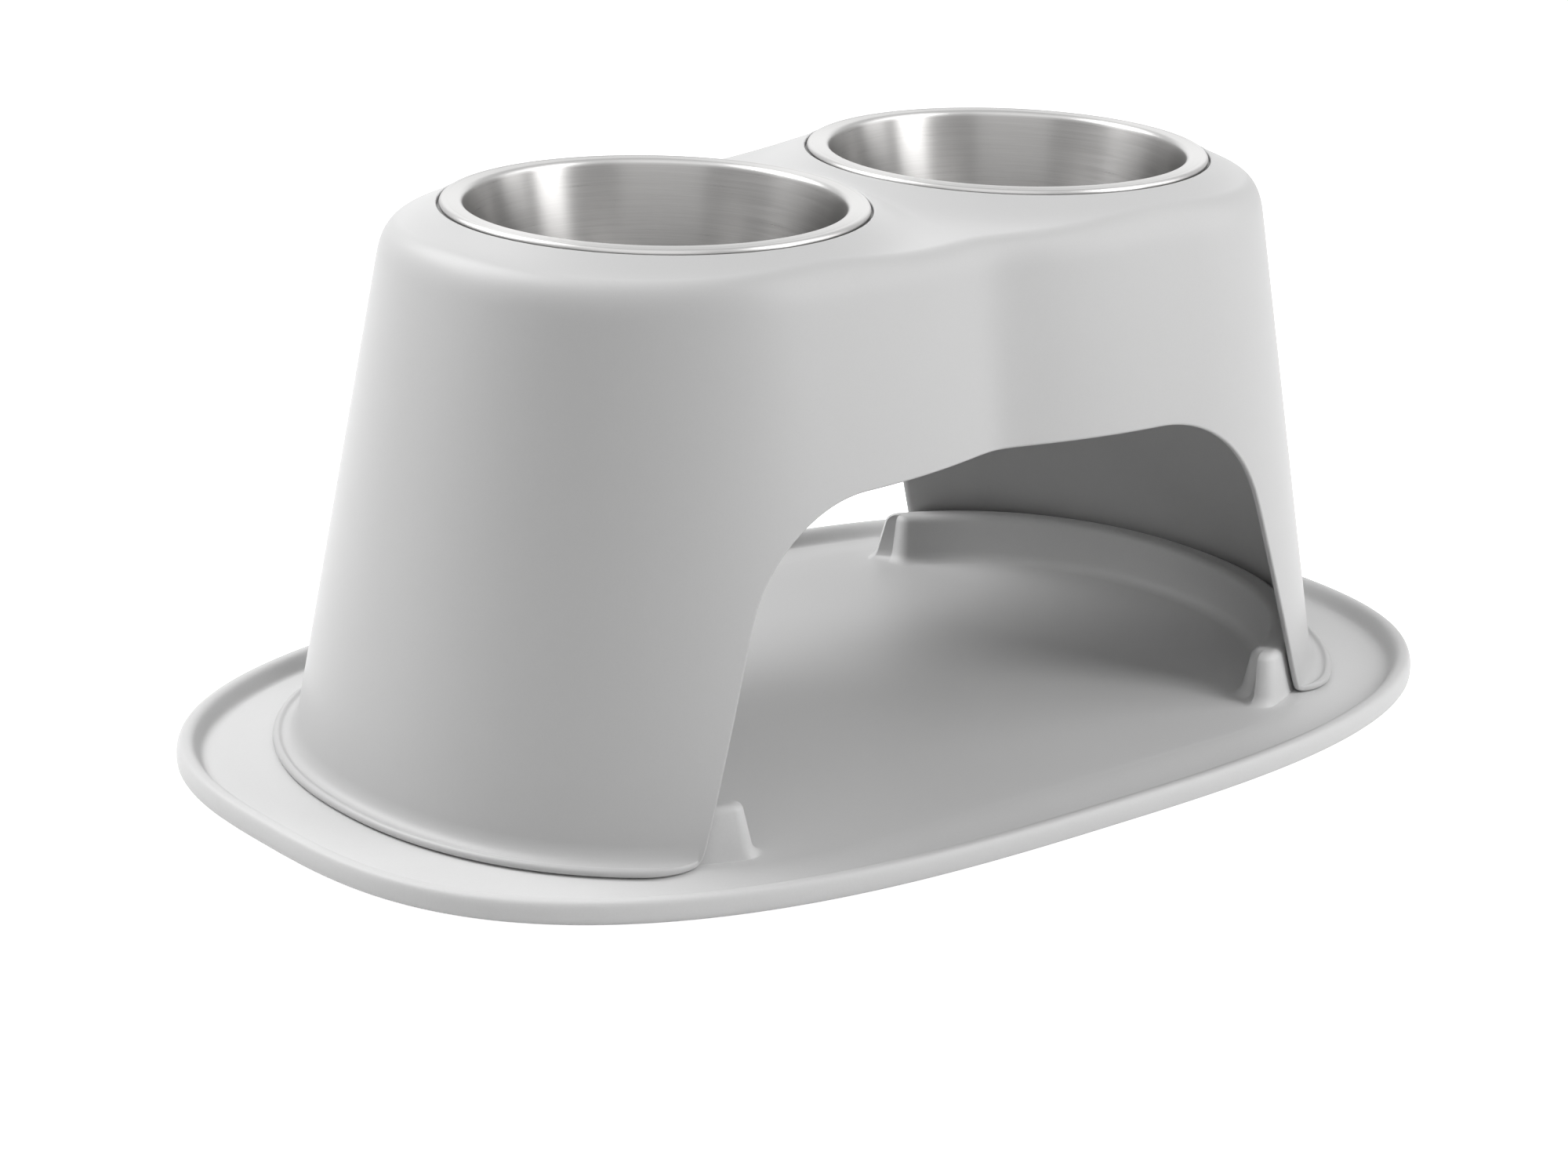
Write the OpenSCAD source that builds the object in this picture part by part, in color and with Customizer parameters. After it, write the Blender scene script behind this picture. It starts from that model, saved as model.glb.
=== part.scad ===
// Raised double pet feeder: a moulded stand with two tapered pots side by side,
// two steel bowls that drop into it, and the lipped mat that it stands on.
// X runs along the two bowls, the front is -Y, Z is up and the floor is Z = 0.

/* [Mat] */
// How far the mat reaches past the stand's wall at its two ends
end_margin = 50; // [42:1:70]
// How far the mat reaches past the stand's wall at the front and the back
side_margin = 45; // [36:1:60]
// Squareness of the mat's outline, 2 is an ellipse
mat_squareness = 2.8; // [2.5:0.1:3.4]
// Thickness of the mat's level floor, which carries the stand
mat_floor = 5.5; // [4:0.25:7]
// How far the level floor reaches past the stand's wall
floor_margin = 4; // [1:0.5:8]
// Thickness of the mat at the outer side of the gutter round its level floor
gutter_floor = 3; // [2:0.25:3.75]
// Height of the raised lip above the ground
lip_height = 10.5; // [9:0.5:14]
// Width of the raised lip, from its outer side to the gutter
lip_width = 12.5; // [10:0.5:16]
// Height of the locating ridges above the mat's floor
ridge_height = 25; // [15:0.5:35]
// Width of a locating ridge across its top
ridge_width = 13; // [10:0.5:16]
// Gap between a ridge and the inside of the leg
ridge_gap = 1.5; // [0.8:0.1:3]
// Radius of a ridge's top edges
ridge_round = 3.5; // [2:0.25:4]
// Roundness of a ridge's ends, seen from above, 1 is a half round
ridge_roundness = 0.9; // [0.5:0.05:0.95]
// How far a ridge's inner side and ends spread from the top to the foot
ridge_spread = 10; // [4:0.5:14]
// How far a ridge reaches out of its leg, past the arch's foot
ridge_reach = 25; // [10:1:30]
// Wall of the hollow underneath a ridge
ridge_wall = 3; // [2.5:0.25:4]

/* [Stand] */
// Height of the stand's top edge above the ground
stand_top = 268.5; // [240:0.5:290]
// Distance between the centres of the two rounded ends
end_spacing = 236; // [220:1:250]
// Length of the stand at the level of its top
top_length = 466; // [458:1:480]
// Length of the stand at the ground, without the flange
foot_length = 556; // [540:1:570]
// Width of the stand from front to back at the level of its top
top_width = 236; // [232:1:250]
// Width of the stand from front to back at the ground, without the flange
foot_width = 328; // [310:1:340]
// Squareness of the rounded ends, 2 is an ellipse
end_squareness = 2.15; // [2:0.05:2.4]
// Depth of the waist between the two pots, front and back
waist_depth = 19; // [5:1:22]
// Softness of the waist's valley at the top
waist_round_top = 14; // [8:1:20]
// Softness of the waist's valley at the ground
waist_round_foot = 4; // [2:1:8]
// Wall of the stand
stand_wall = 3.5; // [2.5:0.25:4.5]
// Slope of the crown, away from each bowl, in degrees
crown_slope = 28; // [15:1:30]
// How far the crown falls in all, where it levels out beside the waist
crown_drop = 11; // [6:0.5:14]
// Softness of the valley between the two crowns
crown_valley = 5; // [3:1:12]
// Reach of the rounded shoulder along the crown
shoulder_in = 9; // [7:1:14]
// Reach of the rounded shoulder down the wall
shoulder_down = 15; // [8:1:20]
// Width of the flange round each foot
flange_width = 10; // [8:0.5:14]
// Thickness of the flange at its rounded outer edge
flange_edge = 4; // [3:0.25:5]
// Height of the sweep from the flange up into the wall
flange_sweep = 8; // [6:0.5:14]

/* [Arch] */
// Height of the arch above the ground
arch_height = 160; // [120:1:170]
// Width of the arch at the ground
arch_foot = 388; // [370:1:396]
// Width of the arch where its leaning sides would meet its top
arch_crown = 292; // [270:1:310]
// Radius of the arch's two upper corners
arch_round = 71; // [40:1:75]
// Length over which the flange dies out towards the arch
toe_length = 22; // [10:1:30]

/* [Bowls] */
// Distance between the centres of the two bowls
bowl_spacing = 222; // [218:1:226]
// Outer diameter of a bowl's rim
rim_diameter = 200; // [190:1:204]
// Width of the rim, from its outer edge to the start of the wall
rim_width = 11; // [8:0.5:14]
// Height of the rolled edge under the rim
rim_roll = 3.7; // [3:0.1:5]
// Thickness of the steel
steel = 0.9; // [0.7:0.1:1.5]
// Radius of the edge where the rim turns down into the bowl
rim_round = 2.7; // [2:0.1:4]
// Depth of a bowl, from the rim's top to the underside of the base
bowl_depth = 85; // [65:1:92]
// Inner diameter of a bowl where its wall meets the base curve
bowl_base = 146; // [130:1:152]
// Radius of the curve between the wall and the base
base_round = 14; // [8:1:18]
// Width of the ledge in the stand that carries a rim
ledge_width = 9; // [7:0.5:10]
// Depth of the ledge below the stand's top edge
ledge_depth = 2.5; // [1.5:0.1:3.2]
// Gap round a rim in its recess
rim_gap = 1; // [0.5:0.1:1.5]
// Gap under a rim, between its rolled edge and the ledge
rim_seat_gap = 0.3; // [0.2:0.05:0.5]

/* [Hidden] */

// Steps round one quarter of an outline, along a ridge and round a corner in section
end_steps = 15;
side_steps = 7;
quarter = end_steps + side_steps;
leg_steps = 22;
arc_steps = 12;

// How far cuts run past the faces they open
overrun = 5;

half_ends = end_spacing / 2;
mat_length = foot_length + 2 * end_margin;
mat_width = foot_width + 2 * side_margin;
bowl_x = bowl_spacing / 2;
rim_r = rim_diameter / 2;
recess_r = rim_r + rim_gap;
hole_r = recess_r - ledge_width;
ledge_z = stand_top - ledge_depth;
rim_bottom = ledge_z + rim_seat_gap;
rim_top = rim_bottom + rim_roll;
foot_z = mat_floor;
ridge_top = mat_floor + ridge_height;
ridge_end = arch_foot / 2 - ridge_reach;
arch_slope = (arch_foot - arch_crown) / 2 / arch_height;
rim_flat = rim_r - rim_roll / 2;
wall_top = rim_r - rim_width;
base_r = bowl_base / 2;

// How quickly the front swells from the waist to the rounded ends
waist_power = 2.3;

// How closely the columns along the side crowd towards the waist
side_power = 1.3;

// How closely the shoulder's curve follows its corner
shoulder_share = 0.9;

// How sharply the crown's slope levels out
crown_power = 4;

function mix(a, b, t) = a + (b - a) * t;
function soft_abs(x, r) = sqrt(x * x + r * r);

// Arc of points about a centre c, from angle a to angle b
function arc(c, r, a, b, n) =
    [for (i = [0:n]) c + r * [cos(mix(a, b, i / n)), sin(mix(a, b, i / n))]];

// One quarter of the stand's ring, from the end round to the middle of the front.
// Each entry holds the shares of the end curve along X and Y, and the share of
// half the end spacing at which the column stands.
function column(k) =
    k <= end_steps
        ? let (a = 90 * k / end_steps)
          [pow(cos(a), 2 / end_squareness), pow(sin(a), 2 / end_squareness), 1]
        : [0, 1, pow(1 - (k - end_steps) / side_steps, side_power)];

// The whole ring, anticlockwise from the right-hand end: quarter index and signs
RING = [
    for (k = [0:quarter - 1]) [k, 1, 1],
    for (k = [quarter:-1:1]) [k, -1, 1],
    for (k = [0:quarter - 1]) [k, -1, -1],
    for (k = [quarter:-1:1]) [k, 1, -1]
];

// Half sizes of the rounded end at a height above the ground
function end_reach(z) = mix(foot_length, top_length, z / stand_top) / 2 - half_ends;
function side_reach(z) = mix(foot_width, top_width, z / stand_top) / 2;

// How far the waist draws the side in at a place along X
function waist(x, z) =
    let (r = mix(waist_round_foot, waist_round_top, z / stand_top))
    let (share = (half_ends - soft_abs(x, r)) / half_ends)
    share > 0 ? waist_depth * pow(share, waist_power) : 0;

// Point of ring entry c at height z, moved outwards by grow
function wall_point(c, z, grow) =
    let (k = column(c[0]))
    let (x = k[2] * half_ends)
    [
        c[1] * (x + k[0] * (end_reach(z) + grow)),
        c[2] * (k[1] * (side_reach(z) + grow) - (k[2] < 1 ? waist(x, z) : 0))
    ];

// Point on the line from end centre to end centre that faces ring entry c
function spine_point(c) = [c[1] * column(c[0])[2] * half_ends, 0];

// Height of the crown: it falls away from the nearer bowl's rim and then levels out
function crown_z(p) =
    let (x = soft_abs(p[0], crown_valley) - soft_abs(bowl_x, crown_valley) + bowl_x)
    let (d = max(0, norm([x - bowl_x, p[1]]) - recess_r))
    let (fall = tan(crown_slope) * d / crown_drop)
    stand_top - crown_drop * fall / pow(1 + pow(fall, crown_power), 1 / crown_power);

// Share of the flange's width that is left at a place along X: it dies out at the toes
function toe_share(x) =
    let (t = min(1, max(0, (abs(x) - arch_foot / 2) / toe_length)))
    sqrt(1 - (1 - t) * (1 - t));

// Profile of the foot flange: share of its width, share of its edge's thickness and
// share of the sweep above that
FLANGE_SHARES = [
    [0.8, 0, 0], [0.93, 0.12, 0], [1, 0.38, 0], [1, 0.62, 0], [0.94, 0.9, 0], [0.82, 1, 0],
    [0.42, 1, 0.06], [0.18, 1, 0.2], [0.06, 1, 0.5], [0, 1, 1]
];

// One point of the rounded shoulder of ring entry c, t runs from the wall to the crown
function shoulder_point(c, grow, drop, t) =
    let (zc = crown_z(wall_point(c, stand_top, grow)) - drop)
    let (corner = wall_point(c, zc, grow))
    let (inward = spine_point(c) - corner)
    let (inner = corner + inward * ((shoulder_in + grow) / norm(inward)))
    let (low = wall_point(c, zc - shoulder_down, grow))
    let (a = t * t, b = 2 * t * (1 - t) * shoulder_share, d = (1 - t) * (1 - t))
    (a * [inner[0], inner[1], crown_z(inner) - drop]
        + b * [corner[0], corner[1], zc]
        + d * [low[0], low[1], zc - shoulder_down]) / (a + b + d);

// One point of the crown of ring entry c, share t of the way to the spine
function crown_point(c, grow, drop, t) =
    let (edge = shoulder_point(c, grow, drop, 1))
    let (s = spine_point(c))
    let (p = mix([edge[0], edge[1]], s, t))
    [p[0], p[1], crown_z(p) - drop];

// Shares of the way up the wall, round the shoulder and in to the spine
WALL_SHARES = [0, 0.3, 0.6, 1];
SHOULDER_SHARES = [0.2, 0.4, 0.6, 0.8, 1];
CROWN_SHARES = [0.3, 0.6, 0.85];

// Level on the wall at ring entry c, share t of the way from height low to the shoulder
function wall_level(c, grow, drop, low, t) =
    let (top = shoulder_point(c, grow, drop, 0)[2])
    let (z = mix(low, top, t))
    let (p = wall_point(c, z, grow))
    [p[0], p[1], z];

// Rows of points for the outside, from the flange's underside up to the spine
function outer_rows() = [
    for (f = FLANGE_SHARES) [
        for (c = RING)
            let (z = foot_z + flange_edge * f[1] + (flange_sweep - flange_edge) * f[2])
            let (x = wall_point(c, z, 0)[0])
            let (p = wall_point(c, z, flange_width * f[0] * toe_share(x)))
            [p[0], p[1], z]
    ],
    for (t = WALL_SHARES) if (t > 0)
        [for (c = RING) wall_level(c, 0, 0, foot_z + flange_sweep, t)],
    for (t = SHOULDER_SHARES) [for (c = RING) shoulder_point(c, 0, 0, t)],
    for (t = CROWN_SHARES) [for (c = RING) crown_point(c, 0, 0, t)]
];

// Rows of points for the inside, one wall further in
function inner_rows() = [
    for (t = WALL_SHARES)
        [for (c = RING) wall_level(c, -stand_wall, stand_wall, foot_z - overrun, t)],
    for (t = SHOULDER_SHARES) [for (c = RING) shoulder_point(c, -stand_wall, stand_wall, t)],
    for (t = CROWN_SHARES) [for (c = RING) crown_point(c, -stand_wall, stand_wall, t)]
];

// Cap of a ring of n points that starts at first: triangles across it, between the
// points that face each other
function strip_cap(first, n, up) = [
    for (i = [0:n / 2 - 2])
        let (a = first + i, b = a + 1, c = first + n - 1 - i, d = c - 1)
        each up ? [[a, c, d], [a, d, b]] : [[a, d, c], [a, b, d]]
];

// Solid through rows of rings, all with as many points and anticlockwise from above
module loft(rows, flat_below = true, flat_above = false) {
    n = len(rows[0]);
    top = (len(rows) - 1) * n;
    below = flat_below ? [[for (i = [0:n - 1]) i]] : strip_cap(0, n, false);
    above = flat_above ? [[for (i = [n - 1:-1:0]) top + i]] : strip_cap(top, n, true);
    sides = [
        for (r = [0:len(rows) - 2], i = [0:n - 1])
            let (a = r * n + i, b = r * n + (i + 1) % n)
            each [[a, a + n, b + n], [a, b + n, b]]
    ];
    points = [for (row = rows) each row];
    polyhedron(points = points, faces = concat(below, sides, above), convexity = 6);
}

// Place along X of the arch's leaning side at height z
function arch_x(z) = arch_foot / 2 - arch_slope * z;

// Outline of the arch in X and Z, with rounded upper corners
function arch_outline() =
    let (turn = atan(1 / arch_slope))
    let (cx = arch_crown / 2 - arch_round * tan(turn / 2), cz = arch_height - arch_round)
    let (right = arc([cx, cz], arch_round, 90, 90 - turn, arc_steps))
    concat(
        [[arch_x(-overrun), -overrun]],
        [for (i = [arc_steps:-1:0]) right[i]],
        [for (q = right) [-q[0], q[1]]],
        [[-arch_x(-overrun), -overrun]]
    );

module arch_cut() {
    rotate([90, 0, 0])
        linear_extrude(height = mat_width, center = true)
            polygon(arch_outline());
}

module bowl_cut(side) {
    translate([side * bowl_x, 0, ledge_z - stand_wall - overrun])
        cylinder(r = hole_r, h = stand_top, $fn = 96);
    translate([side * bowl_x, 0, ledge_z])
        cylinder(r = recess_r, h = stand_top, $fn = 96);
}

// Ring under the crown that carries a bowl's rim
module ledge(side) {
    translate([side * bowl_x, 0, ledge_z - stand_wall])
        cylinder(
            r1 = recess_r + stand_wall,
            r2 = recess_r + ledge_depth / 4,
            h = stand_wall + ledge_depth / 2,
            $fn = 96
        );
}

module stand() {
    color([0.80, 0.80, 0.80])
    difference() {
        union() {
            difference() {
                loft(outer_rows());
                loft(inner_rows());
                arch_cut();
            }
            for (side = [-1, 1]) ledge(side);
        }
        for (side = [-1, 1]) bowl_cut(side);
    }
}

// Point of the mat's outline that faces ring entry c, moved inwards by inset
function mat_point(c, inset) =
    let (half_power = mat_squareness / 2)
    let (turn = acos(pow(end_spacing / mat_length, half_power)))
    let (x = column(c[0])[2] * end_spacing / mat_length)
    let (a = c[0] <= end_steps ? turn * c[0] / end_steps : acos(pow(x, half_power)))
    [
        c[1] * (mat_length / 2 - inset) * pow(cos(a), 1 / half_power),
        c[2] * (mat_width / 2 - inset) * pow(sin(a), 1 / half_power)
    ];

// Profile of the lip: share of its width from the outer side, share of the gutter's
// thickness and share of the lip's height above that
LIP_SHARES = [
    [0.08, 0, 0], [0.02, 0.3, 0], [0, 1, 0.1], [0.03, 1, 0.55], [0.12, 1, 0.88], [0.28, 1, 1],
    [0.48, 1, 0.97], [0.64, 1, 0.82], [0.75, 1, 0.52], [0.83, 1, 0.22], [0.92, 1, 0.04], [1, 1, 0]
];

// Outline of the level floor at ring entry c: it follows the legs and runs straight
// between them
function floor_point(c) =
    let (k = column(c[0]))
    [
        c[1] * (k[2] * half_ends + k[0] * (end_reach(foot_z) + floor_margin)),
        c[2] * k[1] * (side_reach(foot_z) + floor_margin)
    ];

// Rows from the underside over the lip, down into the gutter and up to the level floor
function mat_rows() = [
    for (p = LIP_SHARES)
        let (z = gutter_floor * p[1] + (lip_height - gutter_floor) * p[2])
        [for (c = RING) let (q = mat_point(c, lip_width * p[0])) [q[0], q[1], z]],
    [for (c = RING) let (q = floor_point(c)) [q[0], q[1], mat_floor]]
];

// Point on the curve that runs grow outside the stand's wall at height z, at angle a of a leg
function leg_point(a, z, grow) = [
    half_ends + sign(cos(a)) * (end_reach(z) + grow) * pow(abs(cos(a)), 2 / end_squareness),
    sign(sin(a)) * (side_reach(z) + grow) * pow(abs(sin(a)), 2 / end_squareness)
];

// Angle at which a leg's curve reaches the place x along X
function leg_angle(x, z, grow) =
    acos(pow((x - half_ends) / (end_reach(z) + grow), end_squareness / 2));

// Places across a ridge's rounded end, as shares of its radius
END_SHARES = [0, 0.05, 0.22, 0.55, 1];

// Closed row at height z round a leg's inside, shrunk by inset, spread by spread on the
// inner side and the ends, and with its ends rounded
function ridge_row(z, inset, spread) =
    let (outer = -stand_wall - ridge_gap - inset)
    let (inner = -stand_wall - ridge_gap - ridge_width + inset - spread)
    let (x = ridge_end + inset - spread)
    let (wall_z = max(z, mat_floor))
    let (turn_out = leg_angle(x, wall_z, outer), turn_in = leg_angle(x, ridge_top, inner))
    let (corner = ridge_roundness * (outer - inner) / 2)
    let (edge = corner / (side_reach(z) * turn_in * 2 * PI / 180))
    let (first = [for (e = END_SHARES) [edge * e, corner * (1 - sqrt(e * (2 - e)))]])
    let (middle = [for (i = [1:leg_steps - 1]) [mix(edge, 1 - edge, i / leg_steps), 0]])
    let (last = [for (i = [len(first) - 1:-1:0]) [1 - first[i][0], first[i][1]]])
    let (half = concat(first, middle, last))
    [
        for (h = half)
            let (q = leg_point(mix(-turn_out, turn_out, h[0]), wall_z, outer - h[1]))
            [q[0], q[1], z],
        for (i = [len(half) - 1:-1:0])
            let (h = half[i])
            let (q = leg_point(mix(-turn_in, turn_in, h[0]), ridge_top, inner + h[1]))
            [q[0], q[1], z]
    ];

// Profile of a ridge: share of its height, share of its spread, share of its top radius
RIDGE_SHARES = [
    [0, 1, 0], [0.03, 0.72, 0], [0.1, 0.48, 0], [0.24, 0.3, 0],
    [0.87, 0.03, 0], [0.96, 0, 0.3], [1, 0, 1]
];

// Locating ridge round the inside of the right-hand leg, with its root in the mat's floor
module ridge() {
    loft(concat(
        [ridge_row(mat_floor / 2, 0, ridge_spread)],
        [for (p = RIDGE_SHARES) ridge_row(
            mat_floor + ridge_height * p[0],
            ridge_round * p[2],
            ridge_spread * p[1]
        )]
    ), false);
}

// Hollow moulded into the underside of that ridge
module ridge_hollow() {
    loft([
        ridge_row(-overrun, ridge_wall, ridge_spread / 3),
        ridge_row(ridge_top - ridge_wall, ridge_wall, 0)
    ], false);
}

module mat() {
    color([0.78, 0.78, 0.78])
    difference() {
        union() {
            loft(mat_rows(), true, true);
            for (side = [0, 1]) mirror([side, 0, 0]) ridge();
        }
        for (side = [0, 1]) mirror([side, 0, 0]) ridge_hollow();
    }
}

// Half section of a bowl in R and Z, with the rim's top at Z = 0
function bowl_section() =
    let (lean = atan((wall_top - base_r) / (bowl_depth - base_round)))
    let (roll = [rim_flat, -rim_roll / 2])
    let (edge = [wall_top + rim_round, -rim_round])
    let (curve = [base_r - base_round * cos(lean), -bowl_depth + steel + base_round])
    concat(
        arc(roll, rim_roll / 2, 90, -90, arc_steps),
        arc(roll, rim_roll / 2 - steel, -90, 90, arc_steps),
        arc(edge, rim_round - steel, 90, 180 - lean, arc_steps / 3),
        arc(curve, base_round + steel, -lean, -90, arc_steps),
        [[0, -bowl_depth]],
        [[0, -bowl_depth + steel]],
        arc(curve, base_round, -90, -lean, arc_steps),
        arc(edge, rim_round, 180 - lean, 90, arc_steps / 3)
    );

module bowl(side) {
    translate([side * bowl_x, 0, rim_top])
        rotate_extrude($fn = 96)
            polygon(bowl_section());
}

module left_bowl() {
    color([0.75, 0.74, 0.72]) bowl(-1);
}

module right_bowl() {
    color([0.75, 0.74, 0.72]) bowl(1);
}

mat();
stand();
left_bowl();
right_bowl();
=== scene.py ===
import math
import bmesh
import bpy
import numpy as np
from mathutils import Matrix, Vector
from mathutils.geometry import delaunay_2d_cdt


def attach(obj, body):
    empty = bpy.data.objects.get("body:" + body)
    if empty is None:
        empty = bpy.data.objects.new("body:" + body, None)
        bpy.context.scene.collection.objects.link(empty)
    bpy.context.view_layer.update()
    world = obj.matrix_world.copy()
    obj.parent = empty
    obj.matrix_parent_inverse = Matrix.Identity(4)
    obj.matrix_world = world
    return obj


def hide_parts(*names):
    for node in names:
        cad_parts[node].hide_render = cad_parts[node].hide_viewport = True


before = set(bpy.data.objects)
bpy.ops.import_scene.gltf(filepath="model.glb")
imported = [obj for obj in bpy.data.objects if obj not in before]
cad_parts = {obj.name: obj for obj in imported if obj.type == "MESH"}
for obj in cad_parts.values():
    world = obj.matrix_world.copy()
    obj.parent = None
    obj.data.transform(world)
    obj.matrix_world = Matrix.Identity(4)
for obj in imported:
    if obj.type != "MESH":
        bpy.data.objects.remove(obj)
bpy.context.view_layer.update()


# Helpers

def linked(name, data):
    """New object with its data, in the scene's own collection."""
    thing = bpy.data.objects.new(name, data)
    bpy.context.scene.collection.objects.link(thing)
    return thing


def plug(tree, value, socket):
    """Link an output to an input socket, or set the socket to a plain value."""
    if isinstance(value, bpy.types.NodeSocket):
        tree.links.new(value, socket)
    else:
        socket.default_value = value


def node(tree, kind, **sockets):
    """Add a node and fill its inputs, by name or, as i0, i1 and so on, by index."""
    made = tree.nodes.new(kind)
    for name, value in sockets.items():
        key = int(name[1:]) if name[0] == "i" and name[1:].isdigit() else name.replace("_", " ")
        plug(tree, value, made.inputs[key])
    return made


def calculator(tree):
    """Function that adds a Math node to the tree and returns its output."""
    def calc(operation, a, b, clamp=False):
        made = node(tree, "ShaderNodeMath", i0=a, i1=b)
        made.operation = operation
        made.use_clamp = clamp
        return made.outputs[0]
    return calc


# Surface groups

GROUP_OUTPUTS = (
    ("Color", "NodeSocketColor"), ("Roughness", "NodeSocketFloat"), ("Normal", "NodeSocketVector"),
)
# Moulding: scale of the pits as a share of the grain's, and of the mottling. Weights of grain and
# pits in the height, height in metres, and how much grain and mottling change tone and roughness.
PIT_SCALE, MOTTLE_SCALE = 0.55, 9.0
GRAIN_WEIGHT, PIT_WEIGHT, GRAIN_HEIGHT = 0.7, 0.5, 0.0002
GRAIN_TONE, MOTTLE_TONE = 0.06, 0.035
GRAIN_ROUGHNESS, MOTTLE_ROUGHNESS = 0.8, 2.0
# Brushing: scale round the bowl, scale along its section and detail of its two layers of streaks,
# how much they change the tone, and how much they weigh in the height and the roughness.
FINE_STREAKS, LONG_STREAKS = (3.0, 2600.0, 3.0), (1.2, 500.0, 2.0)
FINE_TONE, LONG_TONE = 0.2, 0.22
LONG_WEIGHT, BRUSH_HEIGHT, BRUSH_ROUGHNESS = 0.6, 0.0001, 0.4
# Rim: height in metres where the wall ends, how fast the rim takes over above it, how much of the
# brushing it loses and how much duller it is.
# Below that height the wall has a darker tone than the rim, which is painted shade.
WALL_EDGE, RIM_RISE, RIM_SMOOTHING, RIM_ROUGHNESS = 0.267, 600.0, 0.7, 0.08


def surface_group(name, **inputs):
    """Node group that puts out colour, roughness and normal, with number and colour inputs."""
    tree = bpy.data.node_groups.new(name, "ShaderNodeTree")
    for key, value in inputs.items():
        kind = "NodeSocketColor" if isinstance(value, tuple) else "NodeSocketFloat"
        tree.interface.new_socket(name=key, in_out="INPUT", socket_type=kind).default_value = value
    for key, kind in GROUP_OUTPUTS:
        tree.interface.new_socket(name=key, in_out="OUTPUT", socket_type=kind)
    return tree, tree.nodes.new("NodeGroupInput").outputs, calculator(tree)


def put_out(tree, colour, factor, roughness, bump):
    """Put out the colour times a factor, the roughness and the normal of a bump."""
    shade = node(tree, "ShaderNodeVectorMath", i0=colour)
    shade.operation = "SCALE"
    plug(tree, factor, shade.inputs["Scale"])
    node(tree, "NodeGroupOutput", Color=shade.outputs[0], Roughness=roughness, Normal=bump.outputs["Normal"])
    return tree


def swing(calc, value, amount):
    """Noise from 0 to 1 turned to plus or minus half of an amount."""
    return calc("MULTIPLY", calc("SUBTRACT", value, 0.5), amount)


def moulded_group():
    """Surface of a moulding: grain and pits in the normal, and the grain with a broad mottling
    in the tone and the roughness."""
    tree, given, calc = surface_group(
        "moulded_surface", Tone=(0.6, 0.6, 0.6, 1), Grain=1100.0, Depth=0.1, Gloss=0.5)
    place = node(tree, "ShaderNodeTexCoord").outputs["Object"]
    grain = node(tree, "ShaderNodeTexNoise", Vector=place, Scale=given["Grain"], Detail=3.0, Roughness=0.6)
    mottle = node(tree, "ShaderNodeTexNoise", Vector=place, Scale=MOTTLE_SCALE, Detail=3.0, Roughness=0.5)
    pits = node(tree, "ShaderNodeTexVoronoi", Vector=place, Scale=calc("MULTIPLY", given["Grain"], PIT_SCALE))
    raised = calc("MULTIPLY", grain.outputs["Fac"], GRAIN_WEIGHT)
    sunk = calc("MULTIPLY", pits.outputs["Distance"], PIT_WEIGHT)
    bump = node(tree, "ShaderNodeBump", Strength=given["Depth"], Distance=GRAIN_HEIGHT,
                Height=calc("ADD", raised, sunk))
    fine = swing(calc, grain.outputs["Fac"], GRAIN_TONE)
    wide = swing(calc, mottle.outputs["Fac"], MOTTLE_TONE)
    factor = calc("ADD", 1.0, calc("ADD", fine, wide))
    rough = calc("ADD", given["Gloss"], calc("MULTIPLY", wide, MOTTLE_ROUGHNESS))
    rough = calc("ADD", rough, calc("MULTIPLY", fine, GRAIN_ROUGHNESS))
    return put_out(tree, given["Tone"], factor, rough, bump)


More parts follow.
